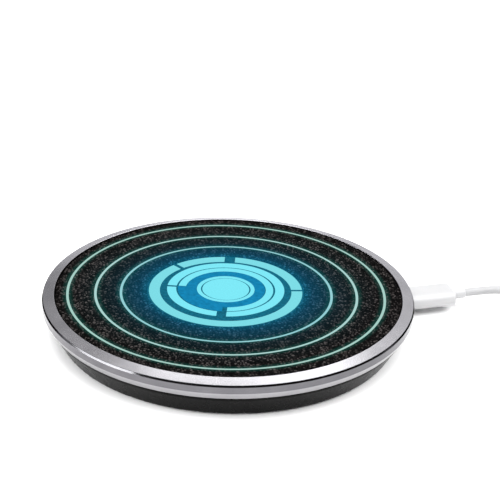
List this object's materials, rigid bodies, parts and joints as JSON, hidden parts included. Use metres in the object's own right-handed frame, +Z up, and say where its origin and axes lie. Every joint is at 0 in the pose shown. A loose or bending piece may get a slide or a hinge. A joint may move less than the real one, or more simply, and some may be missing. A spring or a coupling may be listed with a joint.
{
  "type": "wireless charging pad",
  "caption": "Round, flat wireless charging pad: leather-look top with glowing rings and emblem, satin metal rim, tapered black base, and a white cable plugged in at the back.",
  "frame": {"origin": "centre of the pad at the underside of its foot, on the surface it stands on", "axes": "+Z up, +Y out of the socket and along the cable, +X completes a right-handed frame"},
  "size_m": [0.12, 0.2019, 0.0143],
  "materials": {
    "leather": "fine pebbled grain, matte",
    "light_window": "translucent, lit from below",
    "blue_window": "translucent, lit from below",
    "emblem_panel": "dark teal, softly lit",
    "clear_acrylic": "clear and polished",
    "board": "solder mask",
    "led": "moulded, yellowish",
    "copper": "enamelled winding wire",
    "black_plastic": "fine satin moulding",
    "rim_metal": "satin turned face with bright cut edge",
    "silicone": "matte non-slip",
    "steel": "plated",
    "chip": "moulded black resin",
    "ceramic": "fired ceramic",
    "ferrite": "sintered, matte dark grey",
    "white_plastic": "smooth white",
    "cable_jacket": "soft satin white jacket",
    "strap": "hook and loop tape"
  },
  "bodies": {
    "pad": {"leather_cover": "leather", "light_ring_inner": "light_window", "light_ring_middle": "light_window", "light_ring_outer": "light_window", "emblem_centre_disc": "light_window", "emblem_centre_ring": "light_window", "emblem_inner_arc": "light_window", "emblem_middle_arc_long": "light_window", "emblem_middle_arc_short": "light_window", "emblem_outer_arc_medium": "light_window", "emblem_outer_arc_short": "light_window", "emblem_outer_arc_long": "light_window", "emblem_field": "blue_window", "emblem_panel": "emblem_panel", "light_guide": "clear_acrylic", "circuit_board": "board", "led_flex_ring": "board", "led_1": "led", "led_2": "led", "led_3": "led", "led_4": "led", "led_5": "led", "led_6": "led", "led_wires": "copper", "transmit_coil": "copper", "coil_lead_inner": "copper", "coil_lead_outer": "copper", "top_plate": "black_plastic", "base_shell": "black_plastic", "metal_rim": "rim_metal", "foot_ring": "silicone", "base_screw_1": "steel", "base_screw_2": "steel", "base_screw_3": "steel", "base_screw_4": "steel", "usb_socket_shell": "steel", "buffer_capacitor": "steel", "controller_chip": "chip", "bridge_transistor_1": "chip", "bridge_transistor_2": "chip", "input_inductor": "chip", "usb_socket_tongue": "chip", "temperature_sensor": "chip", "resonant_capacitor_1": "ceramic", "resonant_capacitor_2": "ceramic", "resonant_capacitor_3": "ceramic", "resonant_capacitor_4": "ceramic", "ferrite_shield": "ferrite"},
    "cable": {"plug_shell": "steel", "plug_insulator": "chip", "plug_body": "white_plastic", "strain_relief": "white_plastic", "cable": "cable_jacket", "cable_coil": "cable_jacket", "cable_tie": "strap", "cable_end": "cable_jacket", "usb_a_strain_relief": "white_plastic", "usb_a_plug_body": "white_plastic", "usb_a_plug_shell": "steel", "usb_a_plug_tongue": "chip"}
  },
  "joints": [
    {"name": "cable_unplug", "type": "slide", "parent": "pad", "child": "cable", "axis": [0, 1, 0], "range_m": [0, 0.01]}
  ]
}
